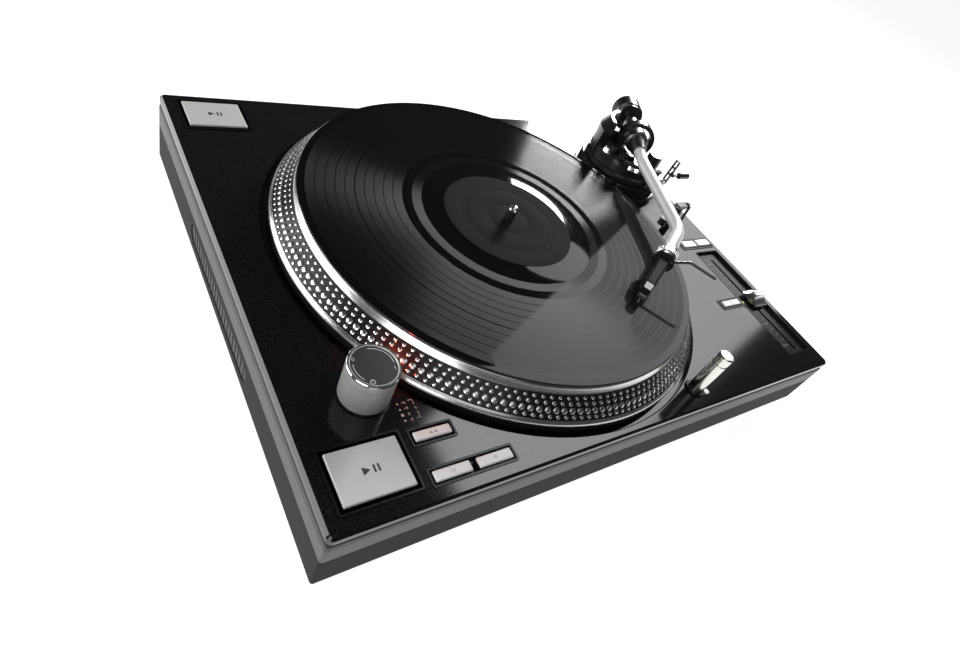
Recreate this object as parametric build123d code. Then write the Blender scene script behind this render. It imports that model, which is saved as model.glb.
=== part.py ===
from build123d import *
import math
import os

# Direct-drive disc-jockey turntable with an S-shaped tonearm, as an assembly of separate pieces.
# Millimetres, +Z up. The origin is at the centre of the base, on the surface the feet stand on.
# +X runs to the tonearm side and +Y to the rear. Places on the deck are given from its front-left
# corner and from the deck's top surface, and on(...) turns them into the row frame.

# Casing
WIDTH = 453.0
DEPTH = 353.0
FOOT_H = 20.0
CASE_H = 50.0
DECK_Z = FOOT_H + CASE_H
PLATE_CORNER_R = 3.6
CASE_CORNER_R = 1.8
INNER_CORNER_R = 3.0
PLATE_LIP = 5.0
PLATE_T = 8.0
SHADOW_GAP = 2.0
GROOVE_Z = -10.8
SEAM_Z = -24.0
SEAM_GAP = 0.6
WALL = 4.0
COVER_T = 3.0

# Platter and record
SPINDLE_X = 197.0
SPINDLE_Y = 174.7
PLATTER_R = 165.5
PLATTER_TOP_Z = 21.5
WELL_R = 169.5
WELL_DEPTH = 4.0
WELL_CHAMFER = 0.8
RECORD_R = 150.8
RECORD_T = 1.6
MAT_R = 148.0
MAT_T = 1.5
LABEL_R = 50.0
RECORD_TOP_Z = PLATTER_TOP_Z + MAT_T + RECORD_T
SPINDLE_R = 3.6
SPINDLE_RELIEF = 0.5
SHAFT_R = 5.0
HOLE_R = 3.62
LABEL_TOP_Z = RECORD_TOP_Z + 0.12
SPINDLE_TOP_Z = 36.8
MAGNET_OUT_R = 62.0
MAGNET_IN_R = 50.0
BUSH_R = 12.0
RUN_FIT = 0.05

# Controls: centre x, centre y, width, depth of each button face
BUTTON_TOP_Z = 1.5
BUTTON_GAP = 0.4
BUTTON_CHAMFER = 0.5
FRAME_PROUD = 0.6
MOAT_DEPTH = 3.0
RIM_W = 0.9
START_BUTTONS = {
    "start_button_front": (30.9, 26.9, 38.9, 29.1),
    "start_button_rear": (31.9, 328.0, 38.9, 29.1),
}
START_FRAME = (45.0, 35.2)
SMALL_BUTTONS = {
    "speed_33_button": (71.5, 13.2, 22.4, 6.2),
    "speed_45_button": (98.5, 13.0, 22.4, 6.2),
    "reverse_button": (71.3, 37.3, 22.4, 5.6),
    "range_button_left": (413.6, 153.8, 18.6, 8.2),
    "range_button_right": (435.2, 154.2, 18.6, 8.2),
    "reset_button": (397.2, 79.4, 23.6, 6.2),
}
FRAMES = {
    "speed": (85.1, 13.2, 54.0, 10.4),
    "reverse": (71.3, 37.4, 27.0, 10.4),
    "range": (424.4, 154.0, 45.2, 12.4),
    "reset": (397.2, 79.4, 28.4, 10.4),
}

# Pitch fader
FADER_X = 431.6
FADER_Y = 78.0
FADER_W = 33.6
FADER_L = 126.4
FADER_SINK = 2.8
SLOT_W = 2.8
SLOT_L = 112.0
GRIP_X = 434.8
GRIP_W = 16.5
GRIP_D = 19.0
GRIP_TOP_Z = 8.4
GRIP_BOTTOM_Z = -0.6
GRIP_SCOOP_R = 7.6
GRIP_SCOOP_Y = 10.2
GRIP_SCOOP_Z = 8.1

# Strobe tower with its power knob, and the pop-up lamp
TOWER_X = 45.0
TOWER_Y = 70.5
TOWER_R = 14.4
TOWER_TOP_Z = 19.0
KNOB_TOP_Z = 25.1
LAMP_X = 278.0
LAMP_Y = 15.4
LAMP_R = 5.4
LAMP_TOP_Z = 37.7
LAMP_BUTTON = (285.6, 10.4)
LAMP_BUTTON_R = 2.2

# Tonearm base, centred on the arm's upright axis
PIVOT_X = 395.3
PIVOT_Y = 257.8
PIVOT_Z = 44.0
ARM_ANGLE = 238.6
FLANGE_R = 45.0
FLANGE_H = 5.0
RING_R = 42.0
RING_TOP_Z = 15.0
DRUM_R = 33.5
DRUM_TOP_Z = 27.0
COLLAR_R = 10.4
YOKE_OUT_R = 17.5
YOKE_IN_R = 13.5
YOKE_T = 8.0
PIN_R = 1.6

# Tonearm, in the arm's own frame: +X from the pivot towards the stylus, +Y away from the spindle
TUBE_R = 5.2
TUBE_BORE_R = 4.2
TUBE_START = (14.0, 0.0)
TUBE_BEND_1 = (44.5, 0.0)
TUBE_BEND_2 = (141.6, 15.1)
TUBE_BEND_R_1 = 45.0
TUBE_BEND_R_2 = 38.0
HEAD_X = 190.4
HEAD_Y = -10.0
HEAD_ANGLE = -27.1
HEAD_DROP_ANGLE = 15.0
COLLAR_L = 16.0
COLLAR_OUT_R = 8.5
COLLAR_RING_R = 6.6
SHELL_L = 37.0
STYLUS_REACH = 40.0
STYLUS_GAP = 0.15
WEIGHT_R = 14.4
WEIGHT_START = -47.0
WEIGHT_L = 18.0
DIAL_L = 4.6
STUB_R = 5.0
STUB_END = -68.0
LIFT_R = 42.0
LIFT_GAP = 0.8
REST_X = 382.0
REST_Y = 167.5

# Feet
FOOT_R = 25.0
FOOT_INSET_X = 40.0
FOOT_INSET_Y = 30.0

# Side inlay
INLAY_Y0 = 119.0
INLAY_Y1 = 249.0
INLAY_Z = -36.5
INLAY_H = 15.0
INLAY_T = 2.0
RIB_COUNT = 21

# Rear sockets
PANEL_X = 330.0
PANEL_Z = -35.0
PANEL_W = 118.0
PANEL_H = 21.0
JACK_X = (300.0, 316.0)
JACK_R = 4.15
GROUND_X = 336.0
INLET_X = 366.0

# Fader lamp
LED_X = 420.1
LED_Y = 79.6

# Strobe window
WINDOW_ANGLE = 34.4

# Power pointer
POINTER_ANGLE = 246.0

# Height ring
RING_LOBES = 12

# Base fittings
CRESCENT_MID = 130.0
HOOD_FROM = 99.0
HOOD_TO = 165.0
HOOD_IN_R = 27.0
HOOD_OUT_R = 37.6
HOOD_TOP_Z = 55.0
LUG_ANGLE = 282.0
LIFT_STEM_ANGLE = 273.0
CUE_OFFSET = (13.0, -41.0)
CUE_Z = 26.0
CUE_CRANK_X = 7.2
CUE_LEAN = 3.0
CUE_KNOB_Y = -5.3
CUE_KNOB_Z = 9.7

# Anti-skate dial
ANTISKATE_X = 13.0
ANTISKATE_Y = -22.0
ANTISKATE_R = 7.2

# Arm clip
CLIP_X = 9.6
CLIP_Z = 37.0
CLIP_REACH = 22.8
CLIP_OPEN_ANGLE = 5.0

# Finger lift
FINGER_R = 1.15
FINGER_POINTS = ((195.6, -10.3, 2.0), (194.6, 7.0, 7.6), (204.4, 26.0, 7.2))

# Motor
STATOR_POLES = 12


def on(x, y, z=0.0):
    """Place from the deck's front-left corner and its top surface."""
    return Pos(x - WIDTH / 2, y - DEPTH / 2, DECK_Z + z)


def slab(width, depth, z0, z1, radius):
    """Upright block with rounded corners between two heights."""
    return Pos(0, 0, z0) * extrude(RectangleRounded(width, depth, radius), amount=z1 - z0)


def disc(radius, z0, z1):
    return Pos(0, 0, z0) * extrude(Circle(radius), amount=z1 - z0)


def ring(outer, inner, z0, z1):
    return disc(outer, z0, z1) - disc(inner, z0 - 1, z1 + 1)


def turned(points):
    """Solid of revolution about Z from (radius, height) points."""
    outline = Polyline([(r, 0, z) for r, z in points], close=True)
    return revolve(make_face(outline), Axis.Z)


def rod(radius, start, end):
    """Round rod between two points."""
    axis = Line(start, end)
    return sweep(Plane(origin=start, z_dir=axis % 0) * Circle(radius), path=axis)


def save(node, shape):
    """Write one node; a list is a group of separate solids."""
    solids = shape if isinstance(shape, list) else [shape]
    parts = [solid for item in solids for solid in item.solids()]
    result = parts[0] if len(parts) == 1 else Compound(children=parts)
    result.label = node
    export_step(result, os.path.join("parts", node + ".step"))


# ---------------------------------------------------------------- casing

def button_openings():
    """Through-holes in the deck for the button frames."""
    holes = []
    for x, y, _, _ in START_BUTTONS.values():
        holes.append(on(x, y) * slab(*START_FRAME, -PLATE_T - 1, 1, 1.0))
    for x, y, width, depth in FRAMES.values():
        holes.append(on(x, y) * slab(width, depth, -PLATE_T - 1, 1, 1.0))
    return holes


def top_plate():
    plate = slab(WIDTH, DEPTH, -PLATE_LIP, 0, PLATE_CORNER_R)
    plate = chamfer(plate.edges().group_by(Axis.Z)[-1], 1.5)
    inset = 2 * SHADOW_GAP
    plate += slab(WIDTH - inset, DEPTH - inset, -PLATE_T, -PLATE_LIP, PLATE_CORNER_R - SHADOW_GAP)
    plate = Pos(0, 0, DECK_Z) * plate
    plate -= on(SPINDLE_X, SPINDLE_Y) * disc(WELL_R, -WELL_DEPTH, 1)
    plate -= on(SPINDLE_X, SPINDLE_Y) * turned([
        (0, -WELL_CHAMFER), (WELL_R, -WELL_CHAMFER), (WELL_R + WELL_CHAMFER + 0.2, 0.2), (0, 0.2),
    ])
    plate -= on(SPINDLE_X, SPINDLE_Y) * disc(BUSH_R + 4, -PLATE_T - 1, 1)
    plate -= on(FADER_X - 2.2, FADER_Y + 2.2) * slab(FADER_W, FADER_L, -PLATE_T - 1, 1, 1.0)
    plate -= on(PIVOT_X, PIVOT_Y) * disc(20.0, -PLATE_T - 1, 1)
    plate -= on(TOWER_X, TOWER_Y) * disc(TOWER_R - 2, -PLATE_T - 1, 1)
    plate -= on(LAMP_X, LAMP_Y) * disc(LAMP_R + 0.5, -PLATE_T - 1, 1)
    plate -= on(*LAMP_BUTTON) * disc(LAMP_BUTTON_R + 0.4, -PLATE_T - 1, 1)
    for hole in button_openings():
        plate -= hole
    return plate


def casing_ring(z0, z1, wall):
    """Open rectangular band with rounded corners."""
    outer = slab(WIDTH, DEPTH, z0, z1, CASE_CORNER_R)
    inner = slab(WIDTH - 2 * wall, DEPTH - 2 * wall, z0 - 1, z1 + 1, INNER_CORNER_R)
    return Pos(0, 0, DECK_Z) * (outer - inner)


def upper_casing():
    band = casing_ring(SEAM_Z, -PLATE_T, WALL)
    top_edges = band.faces().sort_by(Axis.Z)[-1].outer_wire().edges()
    band = fillet(top_edges, 1.2)
    groove = slab(WIDTH + 2, DEPTH + 2, GROOVE_Z - 0.35, GROOVE_Z + 0.35, CASE_CORNER_R)
    groove -= slab(WIDTH - 1.2, DEPTH - 1.2, GROOVE_Z - 1, GROOVE_Z + 1, CASE_CORNER_R - 0.6)
    return band - Pos(0, 0, DECK_Z) * groove


def lower_casing():
    band = casing_ring(-CASE_H, SEAM_Z - SEAM_GAP, WALL)
    neck = casing_ring(SEAM_Z - SEAM_GAP - 2, SEAM_Z, WALL)
    neck -= Pos(0, 0, DECK_Z) * (slab(WIDTH + 2, DEPTH + 2, -CASE_H, 0, 2)
                                 - slab(WIDTH - 2, DEPTH - 2, -CASE_H - 1, 1, CASE_CORNER_R - 0.8))
    band += neck
    band -= side_inlay_pocket(0.0)
    band -= on(PANEL_X, DEPTH, PANEL_Z) * Box(PANEL_W, 4 * WALL, PANEL_H)
    return band


def side_inlay_pocket(gap):
    """Long rounded recess in the left wall, or the inlay that fills it."""
    length = INLAY_Y1 - INLAY_Y0 - 2 * gap
    height = INLAY_H - 2 * gap
    outline = Plane.YZ * RectangleRounded(length, height, height / 2 - 0.2)
    return on(0, (INLAY_Y0 + INLAY_Y1) / 2, INLAY_Z) * extrude(outline, amount=INLAY_T)


def side_inlay():
    """Ribbed inlay that sits below the casing's face."""
    inlay = side_inlay_pocket(0.05)
    inlay -= on(0, (INLAY_Y0 + INLAY_Y1) / 2, INLAY_Z) * Box(1.6, 200, 30)
    span = INLAY_Y1 - INLAY_Y0 - INLAY_H
    for index in range(RIB_COUNT):
        y = INLAY_Y0 + INLAY_H / 2 + span * index / (RIB_COUNT - 1)
        inlay += on(0.9, y, INLAY_Z) * Box(1.2, 2.6, INLAY_H - 4)
    return inlay


def bottom_cover():
    inset = 2 * WALL + 0.4
    cover = slab(WIDTH - inset, DEPTH - inset, -CASE_H, -CASE_H + COVER_T, INNER_CORNER_R)
    cover = Pos(0, 0, DECK_Z) * cover
    for x, y in foot_places():
        cover -= on(x, y) * disc(4.2, -CASE_H - 1, -CASE_H + COVER_T + 1)
    for x, y in screw_places():
        cover -= on(x, y) * disc(1.7, -CASE_H - 1, -CASE_H + COVER_T + 1)
    return cover


def foot_places():
    xs = (FOOT_INSET_X, WIDTH - FOOT_INSET_X)
    ys = (FOOT_INSET_Y, DEPTH - FOOT_INSET_Y)
    return [(x, y) for y in ys for x in xs]


def screw_places():
    front = [(x, 10.0) for x in (100.0, WIDTH / 2, WIDTH - 100.0)]
    rear = [(x, DEPTH - 10.0) for x in (85.0, 170.0, 255.0)]
    return front + rear


def case_screws():
    """Pan-head screws through the bottom cover."""
    screws = []
    for x, y in screw_places():
        screw = disc(3.2, -CASE_H - 1.8, -CASE_H) + disc(1.5, -CASE_H, -CASE_H + 9)
        screw -= Pos(0, 0, -CASE_H - 1.8) * Box(4.4, 0.9, 1.6)
        screws.append(on(x, y) * screw)
    return screws


def foot(x, y):
    """Damped foot: a rubber-soled cup on a threaded stud that can be screwed out."""
    profile = [
        (0, -CASE_H - FOOT_H),
        (FOOT_R - 4, -CASE_H - FOOT_H),
        (FOOT_R - 3, -CASE_H - FOOT_H + 1),
        (FOOT_R - 2, -CASE_H - FOOT_H + 4),
        (FOOT_R, -CASE_H - FOOT_H + 5),
        (FOOT_R, -CASE_H - 1.5),
        (FOOT_R - 1, -CASE_H - 0.3),
        (4.0, -CASE_H - 0.3),
        (4.0, -CASE_H + 14),
        (0, -CASE_H + 14),
    ]
    return on(x, y) * turned(profile)


def terminal_panel():
    """Sunk tray in the rear wall that carries the sockets."""
    tray = on(PANEL_X, DEPTH - 7, PANEL_Z) * Box(PANEL_W - 0.4, 14, PANEL_H - 0.4)
    tray -= on(PANEL_X, DEPTH - 5, PANEL_Z) * Box(PANEL_W - 3.4, 14, PANEL_H - 3.4)
    for x in JACK_X:
        tray -= rear_cylinder(x, PANEL_Z, JACK_R - 0.9, -16, 0)
    tray -= rear_cylinder(GROUND_X, PANEL_Z, 2.0, -16, 0)
    tray -= on(INLET_X, DEPTH - 12, PANEL_Z) * Box(24.2, 10, 16.2)
    return tray


def rear_cylinder(x, z, radius, y0, y1):
    """Cylinder along Y, with its ends measured from the rear face."""
    start = on(x, DEPTH + y0, z).position
    end = on(x, DEPTH + y1, z).position
    return rod(radius, start, end)


def output_sockets():
    sockets = []
    for x in JACK_X:
        socket = rear_cylinder(x, PANEL_Z, JACK_R, -12, -2.5) + rear_cylinder(x, PANEL_Z, 5.5, -12, -10.5)
        socket += rear_cylinder(x, PANEL_Z, JACK_R - 1.0, -18, -12)
        socket -= rear_cylinder(x, PANEL_Z, 3.2, -9.5, -1)
        socket += rear_cylinder(x, PANEL_Z, 2.8, -9.5, -4.5) - rear_cylinder(x, PANEL_Z, 1.7, -9.0, -3)
        sockets.append(socket)
    return sockets


def ground_post():
    post = rear_cylinder(GROUND_X, PANEL_Z, 1.9, -18, -3)
    post += rear_cylinder(GROUND_X, PANEL_Z, 4.2, -12, -11)
    nut = rear_cylinder(GROUND_X, PANEL_Z, 4.4, -9.5, -4)
    return post + nut


def mains_inlet():
    """Two-pin appliance inlet with a figure-of-eight mouth."""
    body = on(INLET_X, DEPTH - 17, PANEL_Z) * Box(24, 20, 16)
    body += on(INLET_X, DEPTH - 10.5, PANEL_Z) * Box(27, 3, 17.2)
    for side in (-1, 1):
        body -= rear_cylinder(INLET_X + side * 4.3, PANEL_Z, 4.4, -23, -6)
    body -= on(INLET_X, DEPTH - 15, PANEL_Z) * Box(8.6, 16, 7)
    for side in (-1, 1):
        body += rear_cylinder(INLET_X + side * 4.3, PANEL_Z, 1.2, -24, -11)
    return body


def main_board():
    """Control board on its standoffs, under the front controls."""
    board = on(160, 60, -36) * Box(170, 80, 1.6)
    for x, y, size, height in ((100, 60, 18, 3), (130, 75, 12, 4), (180, 50, 22, 3), (215, 75, 14, 8)):
        board += on(x, y, -35.4 + height / 2) * Box(size, size, height)
    for x in (82, 238):
        for y in (28, 92):
            board += on(x, y) * disc(3.5, -CASE_H + COVER_T, -36)
    return board


def power_supply():
    """Mains transformer on its bracket with a laminated core and one winding."""
    plate = on(300, 290, -CASE_H + COVER_T + 1) * Box(96, 56, 2)
    core = on(300, 290, -31) * Box(66, 48, 28)
    winding = on(300, 290, -31) * Box(40, 60, 24)
    return plate + core + winding


# ---------------------------------------------------------------- motor and platter

def bearing_housing():
    """Bronze bush in a flanged housing, with a thrust plate below the spindle."""
    body = turned([
        (SHAFT_R + RUN_FIT, -3.9), (MAGNET_IN_R - 12, -3.9), (MAGNET_IN_R - 12, -1.0),
        (BUSH_R, -1.0), (BUSH_R, 6.0), (SHAFT_R + RUN_FIT, 6.0),
    ])
    stem = turned([
        (0, -40), (BUSH_R, -40), (BUSH_R, -3.9), (SHAFT_R + RUN_FIT, -3.9),
        (SHAFT_R + RUN_FIT, -36), (0, -36),
    ])
    return on(SPINDLE_X, SPINDLE_Y) * (body + stem)


def motor_stator():
    """Coil carrier around the bush: a ring board with wound poles."""
    stator = ring(MAGNET_IN_R - 0.8, BUSH_R + 1, -0.9, 1.5)
    for index in range(STATOR_POLES):
        angle = index * 360 / STATOR_POLES
        stator += Rot(0, 0, angle) * Pos(34, 0, 5.3) * Box(27, 9, 8)
        stator += Rot(0, 0, angle) * Pos(33, 0, 5.3) * Box(18, 12, 10.4)
    return on(SPINDLE_X, SPINDLE_Y) * stator


def platter():
    """Cast platter: conical strobe band, polished shoulder, skirt, and a hollow under the deck."""
    outline = [
        (SHAFT_R, 13.0), (MAGNET_OUT_R + 3, 13.0), (140, 13.0), (146, 10.0), (156, -1.5),
        (PLATTER_R - 0.6, -1.5), (PLATTER_R, -0.9), (PLATTER_R, 4.8), (PLATTER_R - 0.6, 5.4),
        (151.6, 17.2), (149.9, 20.8), (149.0, PLATTER_TOP_Z), (148.4, PLATTER_TOP_Z),
        (SHAFT_R, PLATTER_TOP_Z),
    ]
    return on(SPINDLE_X, SPINDLE_Y) * turned(outline)


def rotor_magnet():
    return on(SPINDLE_X, SPINDLE_Y) * ring(MAGNET_OUT_R, MAGNET_IN_R, 1.0, 13.0)


def spindle():
    """Shaft that is thicker below the platter's top, with a shallow relief inside the record's hole."""
    relief_r = SPINDLE_R - SPINDLE_RELIEF
    profile = [
        (0, -35.9), (SHAFT_R - 0.8, -35.9), (SHAFT_R, -35.1), (SHAFT_R, PLATTER_TOP_Z),
        (relief_r, PLATTER_TOP_Z), (relief_r, LABEL_TOP_Z), (SPINDLE_R, LABEL_TOP_Z),
        (SPINDLE_R, SPINDLE_TOP_Z - 3.4),
        (SPINDLE_R - 0.5, SPINDLE_TOP_Z - 1.7), (SPINDLE_R - 1.7, SPINDLE_TOP_Z - 0.4),
        (0, SPINDLE_TOP_Z),
    ]
    return on(SPINDLE_X, SPINDLE_Y) * turned(profile)


def slipmat():
    return on(SPINDLE_X, SPINDLE_Y) * ring(MAT_R, HOLE_R, PLATTER_TOP_Z, PLATTER_TOP_Z + MAT_T)


def record():
    """Twelve-inch disc with a raised bead at the rim and a flat label area."""
    base = PLATTER_TOP_Z + MAT_T
    outline = [
        (HOLE_R, base), (RECORD_R - 0.5, base), (RECORD_R, base + 0.5),
        (RECORD_R, RECORD_TOP_Z - 0.4), (RECORD_R - 0.4, RECORD_TOP_Z),
        (RECORD_R - 3.0, RECORD_TOP_Z), (RECORD_R - 3.6, RECORD_TOP_Z - 0.15),
        (LABEL_R + 2.0, RECORD_TOP_Z - 0.15), (LABEL_R + 1.2, RECORD_TOP_Z),
        (LABEL_R, RECORD_TOP_Z), (HOLE_R, RECORD_TOP_Z),
    ]
    return on(SPINDLE_X, SPINDLE_Y) * turned(outline)


def record_label():
    return on(SPINDLE_X, SPINDLE_Y) * ring(LABEL_R, HOLE_R, RECORD_TOP_Z, LABEL_TOP_Z)


# ---------------------------------------------------------------- controls

def button(x, y, width, depth):
    """Key cap with its plunger; it stands proud of its frame."""
    cap = slab(width, depth, -6.5, BUTTON_TOP_Z, 0.6)
    cap = chamfer(cap.edges().group_by(Axis.Z)[-1], BUTTON_CHAMFER)
    cap += Pos(0, 0, -9.5) * Box(4, 3, 6)
    return on(x, y) * cap


def button_frame(x, y, width, depth, buttons):
    """Frame with a thin raised rim around a sunk floor and one or two key openings."""
    body = slab(width - 0.1, depth - 0.1, -7.0, 0, 1.0)
    body += slab(width + 0.8, depth + 0.8, 0, FRAME_PROUD, 1.2)
    body -= slab(width - 2 * RIM_W, depth - 2 * RIM_W, -MOAT_DEPTH, 2, 0.8)
    body = on(x, y) * body
    for bx, by, bw, bd in buttons:
        gap = 2 * BUTTON_GAP
        body -= on(bx, by) * slab(bw + gap, bd + gap, -8, 2, 0.8)
    return body


def start_button_frames():
    return [button_frame(b[0], b[1], *START_FRAME, [b]) for b in START_BUTTONS.values()]


def small_button_frames():
    frames = []
    for name, (x, y, width, depth) in FRAMES.items():
        keys = [b for node, b in SMALL_BUTTONS.items() if node.startswith(name)]
        frames.append(button_frame(x, y, width, depth, keys))
    return frames


def fader_panel():
    """Sunk plate with the fader slot and a low rim."""
    panel = slab(FADER_W - 0.1, FADER_L - 0.1, -6.0, 0.2, 1.0)
    panel -= slab(FADER_W - 2.0, FADER_L - 2.0, -FADER_SINK, 1.0, 0.6)
    panel = on(FADER_X - 2.2, FADER_Y + 2.2) * panel
    panel -= on(FADER_X, FADER_Y) * slab(SLOT_W, SLOT_L, -7, 1, SLOT_W / 2 - 0.1)
    panel -= on(LED_X, LED_Y) * disc(1.25, -7, 1)
    return panel


def centre_led():
    lens = disc(1.2, -8.0, -FADER_SINK + 0.3)
    return on(LED_X, LED_Y) * lens


def fader_unit():
    """Slide potentiometer body under the panel."""
    body = on(FADER_X, FADER_Y, -14) * Box(12, 128, 12)
    body -= on(FADER_X, FADER_Y, -10) * Box(4.4, 116, 16)
    return body


def fader_cap():
    """Finger grip with a narrow top, a wide foot and scooped sides, on a blade that runs in the slot."""
    middle = (GRIP_TOP_Z + GRIP_BOTTOM_Z) / 2
    grip = Pos(0, 0, middle) * Box(GRIP_W, GRIP_D, GRIP_TOP_Z - GRIP_BOTTOM_Z)
    for side in (-1, 1):
        scoop = Rot(0, 90, 0) * Cylinder(GRIP_SCOOP_R, GRIP_W + 2)
        grip -= Pos(0, side * GRIP_SCOOP_Y, GRIP_SCOOP_Z) * scoop
    grip -= Pos(0, 0, GRIP_TOP_Z) * Box(GRIP_W + 2, 0.9, 0.8)
    blade = Pos(FADER_X - GRIP_X, 0, -6.0) * Box(SLOT_W - 1.0, 6, 12.2)
    return on(GRIP_X, LED_Y) * (grip + blade)


def strobe_tower():
    """Hollow housing beside the platter, with a window that faces the strobe band."""
    tower = ring(TOWER_R, TOWER_R - 2, 0, TOWER_TOP_Z)
    tower += ring(TOWER_R + 0.8, TOWER_R - 2, 0, 1.0)
    tower += ring(TOWER_R - 2.1, TOWER_R - 4, -PLATE_T, 0) + ring(TOWER_R, TOWER_R - 4, 0, 1.0)
    tower += disc(TOWER_R - 1, TOWER_TOP_Z - 2, TOWER_TOP_Z)
    tower -= disc(4.1, TOWER_TOP_Z - 3, TOWER_TOP_Z + 1)
    window = Pos(TOWER_R, 0, 11.0) * Box(8, 7.0, 7.0)
    tower -= Rot(0, 0, WINDOW_ANGLE) * window
    return on(TOWER_X, TOWER_Y) * tower


def strobe_lens():
    """Red window of the strobe lamp, on its lamp holder."""
    lens = Pos(TOWER_R - 1.5, 0, 11.0) * Box(2.0, 6.6, 6.6)
    holder = Pos(TOWER_R - 5.5, 0, 9.0) * Box(6.0, 5.0, 4.0)
    return on(TOWER_X, TOWER_Y) * Rot(0, 0, WINDOW_ANGLE) * (lens + holder)


def power_knob():
    """Rotary power switch: rimmed cap with a pointer tab over a short shaft."""
    cap = turned([
        (0, TOWER_TOP_Z + 0.3), (TOWER_R, TOWER_TOP_Z + 0.3), (TOWER_R, KNOB_TOP_Z - 0.6),
        (TOWER_R - 0.5, KNOB_TOP_Z), (TOWER_R - 1.6, KNOB_TOP_Z), (TOWER_R - 2.0, KNOB_TOP_Z - 0.5),
        (0, KNOB_TOP_Z - 0.5),
    ])
    cap += disc(4.0, TOWER_TOP_Z - 8, TOWER_TOP_Z + 0.5)
    tab = Pos(TOWER_R - 0.4, 0, KNOB_TOP_Z - 1.3) * Box(2.6, 3.6, 2.0)
    return on(TOWER_X, TOWER_Y) * (cap + Rot(0, 0, POINTER_ANGLE) * tab)


def target_lamp():
    """Pop-up lamp column that slides down into the deck."""
    column = turned([
        (0, -6), (LAMP_R, -6), (LAMP_R, LAMP_TOP_Z - 8.0), (LAMP_R - 0.5, LAMP_TOP_Z - 7.6),
        (LAMP_R - 0.5, LAMP_TOP_Z - 6.8), (LAMP_R, LAMP_TOP_Z - 6.4),
        (LAMP_R, LAMP_TOP_Z - 0.8), (LAMP_R - 0.8, LAMP_TOP_Z), (0, LAMP_TOP_Z),
    ])
    window = Rot(0, 0, 118) * Pos(LAMP_R, 0, LAMP_TOP_Z - 4.0) * Box(4.0, 4.4, 3.4)
    return on(LAMP_X, LAMP_Y) * (column - window)


def lamp_button():
    cap = disc(LAMP_BUTTON_R, -9.5, 1.4)
    return on(*LAMP_BUTTON) * cap


# ---------------------------------------------------------------- tonearm base

def arm_flange():
    """Fixed flange on the deck with six flush screw heads and an upright guide sleeve."""
    flange = turned([
        (22, 0), (FLANGE_R, 0), (FLANGE_R, FLANGE_H - 1.6), (FLANGE_R - 1.6, FLANGE_H),
        (22, FLANGE_H),
    ])
    flange += ring(19.8, 17.0, -18, 0) + ring(22.5, 17.0, 0, FLANGE_H)
    for index in range(6):
        head = ring(1.9, 1.6, FLANGE_H - 0.8, FLANGE_H + 1)
        head += Pos(0, 0, FLANGE_H) * Box(2.2, 0.6, 1.2)
        flange -= Rot(0, 0, 15 + index * 60) * Pos(FLANGE_R - 3.7, 0, 0) * head
    return on(PIVOT_X, PIVOT_Y) * flange


def height_ring():
    """Turning ring that sets the arm's height, with finger lobes around its edge."""
    body = turned([
        (DRUM_R + 1.0, FLANGE_H + 0.3), (RING_R, FLANGE_H + 0.3), (RING_R, RING_TOP_Z - 1.2),
        (RING_R - 1.2, RING_TOP_Z), (DRUM_R + 1.0, RING_TOP_Z),
    ])
    for index in range(RING_LOBES):
        angle = 15 + index * 360 / RING_LOBES
        notch = Rot(0, 0, angle) * Pos(RING_R + 3.6, 0, 10) * Cylinder(5.4, 12)
        body -= notch
    return on(PIVOT_X, PIVOT_Y) * body


def arm_base():
    """Sliding drum that carries the arm, its lift, the side lug and the rear crescent."""
    drum = turned([
        (0, FLANGE_H + 1.0), (DRUM_R - 4, FLANGE_H + 1.0), (DRUM_R - 4, 9.0), (DRUM_R + 0.6, 9.0),
        (DRUM_R + 0.6, 16.0), (DRUM_R + 5.0, 16.0), (DRUM_R + 5.0, 20.0), (DRUM_R + 4.2, 21.0),
        (DRUM_R + 1.0, 21.5), (DRUM_R, 22.5), (DRUM_R, DRUM_TOP_Z - 0.8),
        (DRUM_R - 0.8, DRUM_TOP_Z), (COLLAR_R, DRUM_TOP_Z), (COLLAR_R, DRUM_TOP_Z + 0.9),
        (0, DRUM_TOP_Z + 0.9),
    ])
    drum += disc(16.6, -16, FLANGE_H + 1.0)
    drum -= disc(6.0, 8.0, DRUM_TOP_Z + 2)
    crescent = ring(36.0, 26.0, 20.0, 31.0)
    crescent -= Rot(0, 0, CRESCENT_MID + 180) * Pos(46, 0, 26) * Box(80, 100, 20)
    drum += crescent
    drum += sector(HOOD_FROM, HOOD_TO, 60) & turned([
        (HOOD_IN_R, 24.0), (HOOD_OUT_R, 24.0), (HOOD_OUT_R, 45.0), (31.6, HOOD_TOP_Z),
        (28.6, HOOD_TOP_Z), (HOOD_IN_R, 50.0),
    ])
    drum += Rot(0, 0, LUG_ANGLE) * Pos(36, 0, 21.5) * Box(22, 17, 11)
    drum += Pos(CUE_OFFSET[0] - 3.5, CUE_OFFSET[1], 24.5) * Box(9, 7, 11)
    drum -= Rot(0, 0, LIFT_STEM_ANGLE) * Pos(LIFT_R, 0, 0) * disc(2.3, 14, 40)
    drum -= Pos(*CUE_OFFSET, CUE_Z) * Rot(0, 90, 0) * Cylinder(1.85, 20)
    return on(PIVOT_X, PIVOT_Y) * drum


def sector(start, end, reach):
    """Tall wedge between two azimuths, for cutting an arc out of a turned shape."""
    middle = (start + end) / 2
    corners = [(0, 0)] + [
        (2 * reach * math.cos(math.radians(a)), 2 * reach * math.sin(math.radians(a)))
        for a in (start, middle, end)
    ]
    return extrude(make_face(Polyline(corners, close=True)), amount=2 * reach)


def lift_arc():
    """Curved rail under the arm tube, on a stem that rises out of the base."""
    top = PIVOT_Z - TUBE_R - LIFT_GAP
    rail = ring(LIFT_R + 1.8, LIFT_R - 1.8, top - 2.4, top) & sector(219, 276, 60)
    stem = Rot(0, 0, LIFT_STEM_ANGLE) * Pos(LIFT_R, 0, 0) * disc(1.8, 18, top - 1)
    return on(PIVOT_X, PIVOT_Y) * (rail + stem)


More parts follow.
